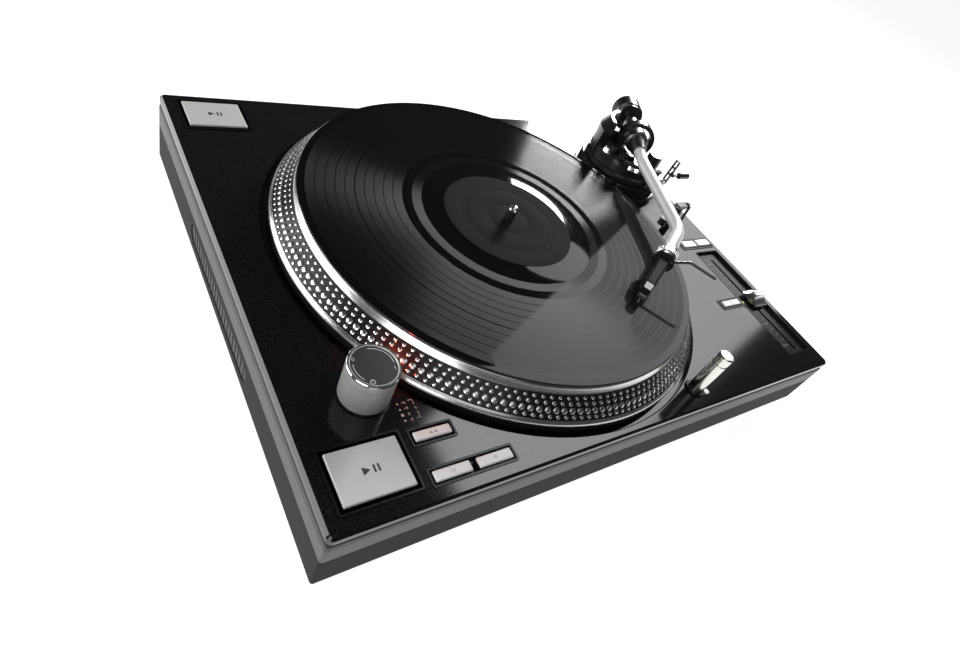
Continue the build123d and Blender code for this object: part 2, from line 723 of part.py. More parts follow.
def cue_lever():
    """Cue shaft with an upright slotted crank and a knob on a side pin."""
    shaft = Pos(1.6, 0, 0) * Rot(0, 90, 0) * Cylinder(1.8, 16)
    crank = Box(2.0, 5.4, 25)
    for offset in (-6.2, 1.2, 8.6):
        crank -= Pos(0, 0, offset) * Box(4, 2.8, 5.8)
    lever = shaft + Rot(CUE_LEAN, 0, 0) * Pos(CUE_CRANK_X, 0, 11.0) * crank
    lever += Pos(CUE_CRANK_X, -3.6, CUE_KNOB_Z) * Box(2.0, 4.6, 3.4)
    lever += Pos(12.0, CUE_KNOB_Y, CUE_KNOB_Z) * Rot(0, 90, 0) * Cylinder(0.9, 10)
    knob = Pos(22.0, CUE_KNOB_Y, CUE_KNOB_Z) * Rot(0, 90, 0) * Cylinder(3.0, 14)
    lever += chamfer(knob.edges(), 0.6)
    return on(PIVOT_X, PIVOT_Y) * Pos(*CUE_OFFSET, CUE_Z) * lever


def antiskate_knob():
    """Upright dial with a gripped edge."""
    knob = turned([
        (0, DRUM_TOP_Z + 0.3), (ANTISKATE_R - 0.6, DRUM_TOP_Z + 0.3), (ANTISKATE_R, DRUM_TOP_Z + 1),
        (ANTISKATE_R, 41.2), (ANTISKATE_R - 0.8, 42.0), (0, 42.0),
    ])
    for index in range(18):
        knob -= Rot(0, 0, index * 20) * Pos(ANTISKATE_R + 0.3, 0, 36) * Cylinder(0.55, 9)
    return on(PIVOT_X + ANTISKATE_X, PIVOT_Y + ANTISKATE_Y) * knob


def arm_rest():
    """Post beside the platter with a side lobe, a saddle for the arm tube and the clip's ear."""
    top = PIVOT_Z - TUBE_R - 0.4
    post = disc(6.0, 0, 2.0) + disc(3.4, 2.0, top - 3)
    bar = Rot(0, 0, 2) * Pos(-6, 0, 20) * Box(12, 3.4, 3.6)
    bar += Pos(-11, 0, 16.8) * disc(3.5, 0, 6.6)
    saddle = Pos(0, 0, top - 1.8) * Box(11, 6, 3.6)
    saddle += Pos(6.5, 0, CLIP_Z - 2.0) * Box(9.5, 2.6, 1.6)
    ear = Pos(CLIP_X, 0, CLIP_Z) * Box(3.2, 2.6, 4.4)
    ear -= Pos(CLIP_X, 0, CLIP_Z) * Rot(90, 0, 0) * Cylinder(0.85, 10)
    return on(REST_X, REST_Y) * (post + bar + saddle + ear)


def arm_clip():
    """Forked hook that hangs open beside the rest and swings up over the parked tube."""
    clip = Rot(90, 0, 0) * Cylinder(0.8, 7.4)
    for side in (-1, 1):
        clip += Pos(0.1, side * 2.7, -CLIP_REACH / 2) * Box(2.0, 1.8, CLIP_REACH + 1.6)
    clip += Pos(3.6, 0, -CLIP_REACH - 0.9) * Box(9.0, 7.2, 1.8)
    return on(REST_X, REST_Y) * Pos(CLIP_X, 0, CLIP_Z) * Rot(0, -CLIP_OPEN_ANGLE, 0) * clip


# ---------------------------------------------------------------- tonearm

def in_arm(shape):
    """Place a shape drawn in the arm's own frame."""
    return on(PIVOT_X, PIVOT_Y, PIVOT_Z) * Rot(0, 0, ARM_ANGLE) * shape


def along_x(radius, x0, x1):
    return Pos((x0 + x1) / 2, 0, 0) * Rot(0, 90, 0) * Cylinder(radius, x1 - x0)


def gimbal_yoke():
    """Upright ring on its pivot shaft; the arm's cross pins sit in it."""
    hoop = along_x(YOKE_OUT_R, -YOKE_T / 2, YOKE_T / 2) - along_x(YOKE_IN_R, -YOKE_T, YOKE_T)
    floor_z = DRUM_TOP_Z + 1.2 - PIVOT_Z
    hoop -= Pos(0, 0, floor_z - 15) * Box(60, 60, 30)
    hoop += disc(9.0, floor_z, floor_z + 2.4)
    hoop -= Rot(90, 0, 0) * Cylinder(PIN_R + RUN_FIT, 60)
    hoop += disc(5.9, 9 - PIVOT_Z, floor_z + 1)
    return in_arm(hoop)


def bearing_block():
    """Block inside the hoop with its cross pins, the tapered tube socket and the rear stub."""
    block = along_x(10.5, -9, 9)
    block = chamfer(block.edges().filter_by(GeomType.CIRCLE), 1.2)
    taper = revolve(make_face(Polyline([
        (8, 0), (8, 8.6), (14, 8.0), (26, 6.4), (26, TUBE_R), (12, TUBE_R), (12, 0),
    ], close=True)), Axis.X)
    block += taper
    block += along_x(STUB_R + 2.6, -30, -8)
    block += along_x(STUB_R, STUB_END, -29)
    block += Rot(90, 0, 0) * Cylinder(PIN_R, 33)
    return in_arm(block)


def tube_path():
    return FilletPolyline(
        TUBE_START, TUBE_BEND_1, TUBE_BEND_2, (HEAD_X, HEAD_Y),
        radius=[TUBE_BEND_R_1, TUBE_BEND_R_2],
    )


def arm_tube():
    """Hollow S-shaped tube."""
    path = tube_path()
    section = Circle(TUBE_R) - Circle(TUBE_BORE_R)
    return in_arm(sweep(Plane(origin=path @ 0, z_dir=path % 0) * section, path=path))


def in_head(shape):
    """Place a shape drawn along the headshell: +X forward from the tube's end."""
    return in_arm(Pos(HEAD_X, HEAD_Y, 0) * Rot(0, 0, HEAD_ANGLE) * shape)


def locking_collar():
    """Knurled sleeve over the tube's end, with a narrower ring behind it, that locks the headshell."""
    sleeve = along_x(COLLAR_OUT_R, -11.0, -1.0) + along_x(COLLAR_RING_R, -COLLAR_L, -11.6)
    sleeve += along_x(COLLAR_RING_R - 0.5, -11.8, -10.8)
    sleeve -= along_x(TUBE_R + 0.3, -COLLAR_L - 1, 1)
    sleeve = chamfer(sleeve.edges().group_by(Axis.X)[-1], 0.5)
    for index in range(24):
        groove = Rot(index * 15, 0, 0) * Pos(-6.0, 0, COLLAR_OUT_R + 0.3) * Box(7.0, 0.7, 1.4)
        sleeve -= groove
    return in_head(sleeve)


def head_tilt(shape):
    return Rot(0, HEAD_DROP_ANGLE, 0) * shape


def cartridge():
    """Slim one-piece headshell and cartridge that tapers to its nose."""
    plug = along_x(COLLAR_OUT_R - 0.3, 0.2, 3.6)
    stations = [(2.0, 9.4, 9.4), (12.0, 8.8, 8.4), (30.0, 8.2, 7.5), (SHELL_L, 7.0, 5.0)]
    sections = [
        Plane(origin=(x, 0, 0), x_dir=(0, 1, 0), z_dir=(1, 0, 0)) * RectangleRounded(width, height, 1.6)
        for x, width, height in stations
    ]
    shell = loft(sections, ruled=True)
    return in_head(plug + head_tilt(shell))


def stylus():
    """Replaceable stylus: a grip under the nose with its cantilever and diamond."""
    tip_z = RECORD_TOP_Z - 0.15 + STYLUS_GAP - PIVOT_Z + 0.15
    nose_z = -math.sin(math.radians(HEAD_DROP_ANGLE)) * SHELL_L
    grip = Pos(SHELL_L - 1.0, 0, nose_z - 3.2) * Box(7.0, 5.6, 4.2)
    grip = chamfer(grip.edges().filter_by(Axis.Y), 0.9)
    start = Vector(SHELL_L + 1.5, 0, nose_z - 4.2)
    end = Vector(STYLUS_REACH, 0, tip_z + 0.9)
    needle = rod(0.35, start, end)
    diamond = Pos(STYLUS_REACH, 0, tip_z) * Pos(0, 0, 0.7) * Cone(0.1, 0.5, 1.4)
    return in_head(grip + needle + diamond)


def finger_lift():
    """Bent wire handle at the headshell's outer side."""
    path = FilletPolyline(*FINGER_POINTS, radius=6.0)
    wire = sweep(Plane(origin=path @ 0, z_dir=path % 0) * Circle(FINGER_R), path=path)
    return in_arm(wire)


def counterweight():
    """Rear balance weight with a grooved grip band."""
    body = along_x(WEIGHT_R, WEIGHT_START - WEIGHT_L, WEIGHT_START)
    body = chamfer(body.edges(), 1.0)
    body -= along_x(STUB_R + 0.3, WEIGHT_START - WEIGHT_L - 1, WEIGHT_START + 1)
    for index in range(36):
        groove = Rot(index * 10, 0, 0) * Pos(WEIGHT_START - 9.0, 0, WEIGHT_R + 0.3) * Box(12, 0.9, 1.6)
        body -= groove
    return in_arm(body)


def force_dial():
    """Numbered ring in front of the weight."""
    start = WEIGHT_START + 0.3
    dial = along_x(WEIGHT_R - 1.0, start, start + DIAL_L)
    dial = chamfer(dial.edges().group_by(Axis.X)[-1], 1.0)
    dial -= along_x(STUB_R + 0.3, start - 1, start + DIAL_L + 1)
    return in_arm(dial)


def main():
    os.makedirs("parts", exist_ok=True)
    nodes = {
        "top_plate": top_plate(),
        "upper_casing": upper_casing(),
        "lower_casing": lower_casing(),
        "bottom_cover": bottom_cover(),
        "case_screws": case_screws(),
        "side_inlay": side_inlay(),
        "terminal_panel": terminal_panel(),
        "output_sockets": output_sockets(),
        "ground_post": ground_post(),
        "mains_inlet": mains_inlet(),
        "main_board": main_board(),
        "power_supply": power_supply(),
        "motor_stator": motor_stator(),
        "bearing_housing": bearing_housing(),
        "start_button_frames": start_button_frames(),
        "small_button_frames": small_button_frames(),
        "fader_panel": fader_panel(),
        "fader_unit": fader_unit(),
        "centre_led": centre_led(),
        "strobe_tower": strobe_tower(),
        "strobe_lens": strobe_lens(),
        "arm_flange": arm_flange(),
        "arm_rest": arm_rest(),
        "platter": platter(),
        "slipmat": slipmat(),
        "record": record(),
        "record_label": record_label(),
        "spindle": spindle(),
        "rotor_magnet": rotor_magnet(),
        "fader_cap": fader_cap(),
        "power_knob": power_knob(),
        "target_lamp": target_lamp(),
        "lamp_button": lamp_button(),
        "height_ring": height_ring(),
        "arm_base": arm_base(),
        "lift_arc": lift_arc(),
        "cue_lever": cue_lever(),
        "antiskate_knob": antiskate_knob(),
        "gimbal_yoke": gimbal_yoke(),
        "bearing_block": bearing_block(),
        "arm_tube": arm_tube(),
        "locking_collar": locking_collar(),
        "cartridge": cartridge(),
        "stylus": stylus(),
        "finger_lift": finger_lift(),
        "counterweight": counterweight(),
        "force_dial": force_dial(),
        "arm_clip": arm_clip(),
    }
    for name, place in zip(("front_left", "front_right", "rear_left", "rear_right"), foot_places()):
        nodes["foot_" + name] = foot(*place)
    for name, place in {**START_BUTTONS, **SMALL_BUTTONS}.items():
        nodes[name] = button(*place)
    for name, shape in nodes.items():
        save(name, shape)


main()
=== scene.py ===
import math

import bmesh
import bpy
from mathutils import Euler, Matrix, Vector


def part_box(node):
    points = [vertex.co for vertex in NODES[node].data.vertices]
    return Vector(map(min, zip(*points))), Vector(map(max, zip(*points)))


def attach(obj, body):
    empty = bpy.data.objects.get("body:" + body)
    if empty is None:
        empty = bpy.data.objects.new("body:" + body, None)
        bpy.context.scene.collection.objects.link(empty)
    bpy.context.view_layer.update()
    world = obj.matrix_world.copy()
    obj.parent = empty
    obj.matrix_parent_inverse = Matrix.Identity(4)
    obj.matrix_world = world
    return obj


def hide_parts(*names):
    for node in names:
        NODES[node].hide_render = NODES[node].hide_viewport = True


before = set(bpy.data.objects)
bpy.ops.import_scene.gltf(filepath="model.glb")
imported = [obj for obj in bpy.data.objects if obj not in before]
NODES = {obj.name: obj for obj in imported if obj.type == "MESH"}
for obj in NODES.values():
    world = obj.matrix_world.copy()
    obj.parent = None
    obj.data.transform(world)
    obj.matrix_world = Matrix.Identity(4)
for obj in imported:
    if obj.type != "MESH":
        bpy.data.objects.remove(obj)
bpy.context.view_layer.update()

MM = 0.001
PLATE_LO, PLATE_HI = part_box("top_plate")
DECK = Vector((PLATE_LO.x, PLATE_LO.y, PLATE_HI.z))
REC_LO, REC_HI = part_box("record")
SPINDLE = Vector(((REC_LO.x + REC_HI.x) / 2, (REC_LO.y + REC_HI.y) / 2, 0.0))
UP = Vector((0, 0, 1))

# Deck millimetres and degrees.
MARK_LIFT = 0.03             # printed marks stand this far over their surface
KEY_TOP = 1.5
TOWER_X, TOWER_Y = 45.0, 70.5
KNOB_TOP = 24.72
LAMP_X, LAMP_Y = 278.0, 15.4
ARM_PIVOT = (395.3, 257.8, 44.0)
ARM_AZIMUTH = 238.6
HEAD_ALONG, HEAD_ASIDE = 190.4, -10.0
HEAD_OFFSET_ANGLE = 27.1     # the headshell is turned towards the spindle by this angle
HEAD_TILT = 15.0
RECORD_TOP, RECORD_BEAD = 24.5, 24.6
BAND_LOW, BAND_HIGH = (164.9, 5.4), (151.6, 17.2)   # radius and height at the ends of the dotted cone


def at(x, y, z=0.0):
    """Deck millimetres (from the front-left corner and the top surface) to the row frame."""
    return DECK + Vector((x, y, z)) * MM


# ------------------------------------------------------------------ materials

FLAKE_SCALE = 2300.0
TOP_METALLIC = 0.15
RECORD_COAT_ROUGH, RECORD_COAT_IOR = 0.03, 1.12


def shader(name):
    mat = bpy.data.materials.new(name)
    mat.use_nodes = True
    nodes = mat.node_tree.nodes
    return mat, nodes, mat.node_tree.links, nodes["Principled BSDF"]


def coords(nodes, links, scale=(1, 1, 1), shift=(0, 0, 0), turn=(0, 0, 0)):
    tex = nodes.new("ShaderNodeTexCoord")
    mapping = nodes.new("ShaderNodeMapping")
    mapping.inputs["Scale"].default_value = scale
    mapping.inputs["Location"].default_value = shift
    mapping.inputs["Rotation"].default_value = turn
    links.new(tex.outputs["Object"], mapping.inputs["Vector"])
    return mapping.outputs["Vector"]


def noise(nodes, links, vector, scale, detail=3.0, rough=0.55):
    tex = nodes.new("ShaderNodeTexNoise")
    tex.inputs["Scale"].default_value = scale
    tex.inputs["Detail"].default_value = detail
    tex.inputs["Roughness"].default_value = rough
    links.new(vector, tex.inputs["Vector"])
    return tex.outputs["Fac"]


def ranged(nodes, links, value, low, high, from_low=0.3, from_high=0.7):
    node = nodes.new("ShaderNodeMapRange")
    node.inputs["From Min"].default_value = from_low
    node.inputs["From Max"].default_value = from_high
    node.inputs["To Min"].default_value = low
    node.inputs["To Max"].default_value = high
    links.new(value, node.inputs["Value"])
    return node.outputs["Result"]


def blended(nodes, links, value, dark, light):
    ramp = nodes.new("ShaderNodeValToRGB")
    ramp.color_ramp.elements[0].position = 0.3
    ramp.color_ramp.elements[1].position = 0.7
    ramp.color_ramp.elements[0].color = (*dark, 1)
    ramp.color_ramp.elements[1].color = (*light, 1)
    links.new(value, ramp.inputs["Fac"])
    return ramp.outputs["Color"]


def bumped(nodes, links, bsdf, height, strength, distance):
    bump = nodes.new("ShaderNodeBump")
    bump.inputs["Strength"].default_value = strength
    bump.inputs["Distance"].default_value = distance
    links.new(height, bump.inputs["Height"])
    links.new(bump.outputs["Normal"], bsdf.inputs["Normal"])


def finish_material(name, dark, light, rough, metallic=0.0, grain=400.0, bump=0.0, stretch=(1, 1, 1),
                    coat=0.0, coat_rough=0.05, ior=1.5, bump_depth=0.0001, wash=12.0):
    """Two-tone base, roughness that varies, and a fine bump, all from noise in object space."""
    mat, nodes, links, bsdf = shader(name)
    fine = noise(nodes, links, coords(nodes, links, scale=stretch), grain, 4.0)
    broad = noise(nodes, links, coords(nodes, links), wash, 2.0)
    mixed = nodes.new("ShaderNodeMath")
    mixed.operation = "ADD"
    links.new(fine, mixed.inputs[0])
    links.new(broad, mixed.inputs[1])
    half = nodes.new("ShaderNodeMath")
    half.operation = "MULTIPLY"
    half.inputs[1].default_value = 0.5
    links.new(mixed.outputs[0], half.inputs[0])
    links.new(blended(nodes, links, half.outputs[0], dark, light), bsdf.inputs["Base Color"])
    links.new(ranged(nodes, links, half.outputs[0], rough[0], rough[1]), bsdf.inputs["Roughness"])
    bsdf.inputs["Metallic"].default_value = metallic
    bsdf.inputs["IOR"].default_value = ior
    bsdf.inputs["Coat Weight"].default_value = coat
    bsdf.inputs["Coat Roughness"].default_value = coat_rough
    if bump:
        bumped(nodes, links, bsdf, fine, bump, bump_depth)
    return mat


def grey(value):
    return (value, value, value)


def speckled_paint(name):
    """Black gloss paint with very fine, low-contrast metallic flakes."""
    mat, nodes, links, bsdf = shader(name)
    where = coords(nodes, links)
    cells = nodes.new("ShaderNodeTexVoronoi")
    cells.inputs["Scale"].default_value = FLAKE_SCALE
    links.new(where, cells.inputs["Vector"])
    split = nodes.new("ShaderNodeSeparateColor")
    links.new(cells.outputs["Color"], split.inputs["Color"])
    flakes = ranged(nodes, links, split.outputs["Red"], 0.0, 1.0, 0.55, 1.0)
    ramp = nodes.new("ShaderNodeValToRGB")
    ramp.color_ramp.elements[0].color = (0.003, 0.0032, 0.0042, 1)
    ramp.color_ramp.elements[1].color = (0.018, 0.019, 0.022, 1)
    links.new(flakes, ramp.inputs["Fac"])
    links.new(ramp.outputs["Color"], bsdf.inputs["Base Color"])
    haze = noise(nodes, links, where, 900.0, 3.0)
    links.new(ranged(nodes, links, haze, 0.085, 0.115), bsdf.inputs["Roughness"])
    return mat


def capped(name, top, side, level):
    """Bright plate above a height over the deck, dark body below it."""
    mat, nodes, links, bsdf = shader(name)
    tex = nodes.new("ShaderNodeTexCoord")
    split = nodes.new("ShaderNodeSeparateXYZ")
    links.new(tex.outputs["Object"], split.inputs["Vector"])
    step = nodes.new("ShaderNodeMath")
    step.operation = "GREATER_THAN"
    step.inputs[1].default_value = DECK.z + level * MM
    links.new(split.outputs["Z"], step.inputs[0])
    grain = noise(nodes, links, coords(nodes, links, scale=(1, 9, 1)), 420.0, 4.0)
    face = blended(nodes, links, grain, [c * 0.94 for c in top], top)
    mix = nodes.new("ShaderNodeMix")
    mix.data_type = "RGBA"
    mix.inputs["A"].default_value = (*side, 1)
    links.new(face, mix.inputs["B"])
    links.new(step.outputs[0], mix.inputs["Factor"])
    links.new(mix.outputs["Result"], bsdf.inputs["Base Color"])
    links.new(ranged(nodes, links, grain, 0.42, 0.52), bsdf.inputs["Roughness"])
    metal = nodes.new("ShaderNodeMath")
    metal.operation = "MULTIPLY"
    metal.inputs[1].default_value = TOP_METALLIC
    links.new(step.outputs[0], metal.inputs[0])
    links.new(metal.outputs[0], bsdf.inputs["Metallic"])
    return mat


def radius_streaks(name, color, rough, streak, anisotropic=0.0, coat=0.0, ior=1.5, metallic=0.0):
    """Turned or pressed surface: streaks that run round the spindle, with the gloss stretched along them."""
    mat, nodes, links, bsdf = shader(name)
    tex = nodes.new("ShaderNodeTexCoord")
    away = nodes.new("ShaderNodeVectorMath")
    away.operation = "SUBTRACT"
    away.inputs[1].default_value = SPINDLE
    links.new(tex.outputs["Object"], away.inputs[0])
    flat = nodes.new("ShaderNodeVectorMath")
    flat.operation = "MULTIPLY"
    flat.inputs[1].default_value = (1, 1, 0)
    links.new(away.outputs["Vector"], flat.inputs[0])
    radius = nodes.new("ShaderNodeVectorMath")
    radius.operation = "LENGTH"
    links.new(flat.outputs["Vector"], radius.inputs[0])
    lines = nodes.new("ShaderNodeTexNoise")
    lines.noise_dimensions = "1D"
    lines.inputs["Scale"].default_value = streak
    lines.inputs["Detail"].default_value = 4.0
    lines.inputs["Roughness"].default_value = 0.65
    links.new(radius.outputs["Value"], lines.inputs["W"])
    dark, light = color
    links.new(blended(nodes, links, lines.outputs["Fac"], dark, light), bsdf.inputs["Base Color"])
    links.new(ranged(nodes, links, lines.outputs["Fac"], *rough), bsdf.inputs["Roughness"])
    if anisotropic:
        tangent = nodes.new("ShaderNodeTangent")
        tangent.direction_type = "RADIAL"
        tangent.axis = "Z"
        links.new(tangent.outputs["Tangent"], bsdf.inputs["Tangent"])
        bsdf.inputs["Anisotropic"].default_value = anisotropic
        bsdf.inputs["Anisotropic Rotation"].default_value = 0.25
    bsdf.inputs["Coat Weight"].default_value = coat
    bsdf.inputs["Coat Roughness"].default_value = RECORD_COAT_ROUGH
    bsdf.inputs["Coat IOR"].default_value = RECORD_COAT_IOR
    bsdf.inputs["IOR"].default_value = ior
    bsdf.inputs["Metallic"].default_value = metallic
    return mat


def glowing(name, color, strength):
    mat, nodes, links, bsdf = shader(name)
    wave = noise(nodes, links, coords(nodes, links), 300.0)
    links.new(blended(nodes, links, wave, [c * 0.8 for c in color], color), bsdf.inputs["Base Color"])
    bsdf.inputs["Roughness"].default_value = 0.2
    bsdf.inputs["Emission Color"].default_value = (*color, 1)
    bsdf.inputs["Emission Strength"].default_value = strength
    return mat


M = {}
M["deck"] = speckled_paint("deck_paint")
M["casing"] = finish_material("casing_grey", grey(0.11), grey(0.125), (0.38, 0.48), grain=900, bump=0.08,
                              ior=1.22)
M["casing_low"] = finish_material("casing_low_grey", grey(0.04), grey(0.05), (0.4, 0.5), grain=900, bump=0.08,
                                  ior=1.05)
M["inlay"] = finish_material("inlay_grey", grey(0.045), grey(0.07), (0.5, 0.65), grain=600, bump=0.1)
M["black_matte"] = finish_material("black_matte", grey(0.012), grey(0.024), (0.45, 0.65), grain=700,
                                   bump=0.15)
M["steel"] = finish_material("zinc_steel", grey(0.42), grey(0.6), (0.25, 0.4), 1.0, grain=500,
                             stretch=(1, 8, 1))
M["nickel"] = finish_material("nickel", (0.62, 0.58, 0.5), (0.78, 0.74, 0.66), (0.15, 0.28), 1.0, grain=700)
M["board"] = finish_material("board_green", (0.01, 0.09, 0.035), (0.02, 0.15, 0.06), (0.3, 0.45), grain=300)
M["laminate"] = finish_material("laminate", grey(0.2), grey(0.34), (0.35, 0.5), 0.9, grain=900,
                                stretch=(1, 1, 6))
M["copper"] = finish_material("wound_copper", (0.42, 0.18, 0.07), (0.65, 0.3, 0.13), (0.3, 0.4), 0.9,
                              grain=900, bump=0.3, stretch=(1, 1, 8))
M["bronze"] = finish_material("bronze", (0.42, 0.3, 0.13), (0.6, 0.45, 0.22), (0.28, 0.4), 1.0, grain=600)
M["frame"] = finish_material("frame_black", grey(0.004), grey(0.008), (0.22, 0.3), grain=500, ior=1.36)
M["arm_black"] = finish_material("arm_black", grey(0.008), grey(0.016), (0.2, 0.32), grain=800, bump=0.06,
                                 coat=0.3, coat_rough=0.12)
M["platter_black"] = radius_streaks("platter_black", (grey(0.005), grey(0.010)), (0.24, 0.32), 900, 0.3)
M["platter_metal"] = radius_streaks("platter_metal", (grey(0.68), grey(0.78)), (0.20, 0.26), 1400, 0.5,
                                    metallic=1.0)
M["dot"] = finish_material("dot_metal", grey(0.78), grey(0.95), (0.16, 0.26), 1.0, grain=900)
M["groove"] = radius_streaks("record_grooves", (grey(0.003), grey(0.006)), (0.22, 0.26), 2600, 1.0,
                             coat=1.0, ior=1.12)
M["land"] = radius_streaks("record_land", (grey(0.003), grey(0.006)), (0.03, 0.06), 500, ior=1.24)
M["label"] = radius_streaks("label_print", (grey(0.006), grey(0.011)), (0.7, 0.8), 420, ior=1.12)
M["felt"] = finish_material("slipmat_felt", grey(0.006), grey(0.02), (0.85, 0.95), grain=1500, bump=0.6,
                            bump_depth=0.0004)
M["chrome"] = finish_material("chrome", grey(0.8), grey(0.92), (0.04, 0.1), 1.0, grain=300)
M["lamp"] = finish_material("lamp_satin", (0.72, 0.71, 0.64), (0.80, 0.79, 0.73), (0.12, 0.2), 1.0, grain=300)
M["magnet"] = finish_material("ferrite", grey(0.03), grey(0.06), (0.5, 0.6), grain=600)
M["satin"] = finish_material("satin_silver", grey(0.62), grey(0.8), (0.26, 0.36), 1.0, grain=700,
                             stretch=(1, 10, 1))
M["button"] = capped("button_silver", (0.66, 0.655, 0.64), grey(0.01), 0.25)
M["button_white"] = capped("button_white", (0.93, 0.93, 0.92), grey(0.02), 0.25)
M["gunmetal"] = finish_material("gunmetal", (0.52, 0.515, 0.50), (0.62, 0.614, 0.60), (0.34, 0.42), 0.5,
                                grain=500, stretch=(1, 1, 0.08))
M["rim_bright"] = finish_material("rim_bright", grey(0.75), grey(0.9), (0.12, 0.2), 1.0, grain=500)
M["tube"] = finish_material("tube_silver", (0.80, 0.80, 0.80), (0.88, 0.88, 0.88), (0.36, 0.44), 0.35,
                            grain=500)
M["dark_satin"] = finish_material("dark_satin", grey(0.16), grey(0.26), (0.25, 0.35), 1.0, grain=600)
M["rubber"] = finish_material("rubber", grey(0.012), grey(0.022), (0.6, 0.8), grain=900, bump=0.3)
M["head_black"] = finish_material("head_black", grey(0.008), grey(0.016), (0.25, 0.38), grain=700, bump=0.05,
                                  ior=1.25)
M["white"] = finish_material("white_plastic", grey(0.72), grey(0.85), (0.3, 0.4), grain=500)
M["print"] = finish_material("print_grey", grey(0.42), grey(0.52), (0.4, 0.5), grain=800)
M["print_black"] = finish_material("print_black", grey(0.02), grey(0.035), (0.4, 0.5), grain=800)
M["red_ring"] = finish_material("red_ring", (0.4, 0.01, 0.008), (0.55, 0.02, 0.015), (0.3, 0.4), grain=500)
M["lamp_green"] = glowing("lamp_green", (0.62, 0.78, 0.2), 0.5)
M["print_white"] = finish_material("print_white", grey(0.5), grey(0.6), (0.4, 0.5), grain=800)
M["knob_black"] = finish_material("knob_inlay", grey(0.008), grey(0.014), (0.3, 0.4), grain=700)
M["strobe_red"] = glowing("strobe_red", (1.0, 0.05, 0.02), 9.0)

NODE_MATERIALS = {
    "deck": ["top_plate"],
    "casing": ["upper_casing"],
    "casing_low": ["lower_casing"],
    "inlay": ["side_inlay"],
    "black_matte": ["bottom_cover", "terminal_panel", "mains_inlet"],
    "steel": ["case_screws", "fader_unit"],
    "nickel": ["output_sockets", "ground_post"],
    "board": ["main_board"],
    "laminate": ["power_supply"],
    "copper": ["motor_stator"],
    "bronze": ["bearing_housing"],
    "frame": ["start_button_frames", "small_button_frames", "fader_panel"],
    "lamp_green": ["centre_led"],
    "strobe_red": ["strobe_lens"],
    "gunmetal": ["strobe_tower", "power_knob"],
    "arm_black": ["arm_flange", "arm_rest", "arm_clip", "height_ring", "arm_base", "cue_lever",
                  "antiskate_knob", "gimbal_yoke", "finger_lift", "force_dial"],
    "platter_metal": ["platter"],
    "felt": ["slipmat"],
    "groove": ["record"],
    "label": ["record_label"],
    "chrome": ["spindle"],
    "lamp": ["target_lamp"],
    "magnet": ["rotor_magnet"],
    "satin": ["fader_cap", "locking_collar"],
    "button": ["start_button_front", "start_button_rear"],
    "button_white": ["speed_33_button", "speed_45_button", "reverse_button", "range_button_left",
                     "range_button_right", "reset_button", "lamp_button"],
    "rubber": ["foot_front_left", "foot_front_right", "foot_rear_left", "foot_rear_right", "lift_arc"],
    "tube": ["arm_tube"],
    "dark_satin": ["bearing_block", "stylus"],
    "head_black": ["cartridge", "counterweight"],
}
for key, names in NODE_MATERIALS.items():
    for name in names:
        node = NODES[name]
        node.data.materials.clear()
        node.data.materials.append(M[key])


# ------------------------------------------------------------------ mesh helpers

def to_object(name, bm, mats, body, smooth=True, angle=35.0):
    mesh = bpy.data.meshes.new(name)
    bm.normal_update()
    bm.to_mesh(mesh)
    bm.free()
    for mat in mats:
        mesh.materials.append(mat)
    obj = bpy.data.objects.new(name, mesh)
    bpy.context.scene.collection.objects.link(obj)
    if smooth:
        for poly in mesh.polygons:
            poly.use_smooth = True
        mesh.set_sharp_from_angle(angle=math.radians(angle))
    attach(obj, body)
    return obj


def turned(count):
    """Angles of equal steps round a circle."""
    return [2 * math.pi * i / count for i in range(count)]


def join_rings(bm, lower, upper, material=0):
    for i in range(len(lower)):
        j = (i + 1) % len(lower)
        face = bm.faces.new((lower[i], lower[j], upper[j], upper[i]))
        face.material_index = material


def lathe(name, profile, centre, segments, mats, body):
    """Turned piece with a closed section.

    profile is (radius mm, height mm over the deck, material index of the face that follows).
    """
    bm = bmesh.new()
    rings = [[bm.verts.new((centre.x + r * MM * math.cos(a), centre.y + r * MM * math.sin(a),
                            DECK.z + z * MM)) for a in turned(segments)] for r, z, _ in profile]
    for k, (_, _, material) in enumerate(profile):
        join_rings(bm, rings[k], rings[(k + 1) % len(rings)], material)
    bmesh.ops.recalc_face_normals(bm, faces=bm.faces)
    return to_object(name, bm, mats, body, angle=30.0)


def frame_axes(normal):
    n = normal.normalized()
    side = n.cross(UP)
    if side.length < 1e-4:
        side = Vector((1, 0, 0))
    side.normalize()
    return side, n.cross(side), n


def dome(bm, centre, normal, radius, height, around=12):
    """Low dome with a vertical foot, sunk a little into its surface."""
    side, up, n = frame_axes(normal)
    levels = [(1.0, -0.4), (1.0, 0.6), (0.88, 0.92)]
    rings = [[bm.verts.new(centre + (side * math.cos(a) + up * math.sin(a)) * radius * scale
                           + n * height * lift) for a in turned(around)] for scale, lift in levels]
    tip = bm.verts.new(centre + n * height)
    for lower, upper in zip(rings, rings[1:]):
        join_rings(bm, lower, upper)
    for i in range(around):
        bm.faces.new((rings[-1][i], rings[-1][(i + 1) % around], tip))
    bm.faces.new(list(reversed(rings[0])))


# ------------------------------------------------------------------ platter, record and label

BAND_RUN, BAND_RISE = BAND_LOW[0] - BAND_HIGH[0], BAND_HIGH[1] - BAND_LOW[1]


def band_z(r):
    """Height of the dotted cone at a radius."""
    return BAND_LOW[1] + (BAND_LOW[0] - r) / BAND_RUN * BAND_RISE


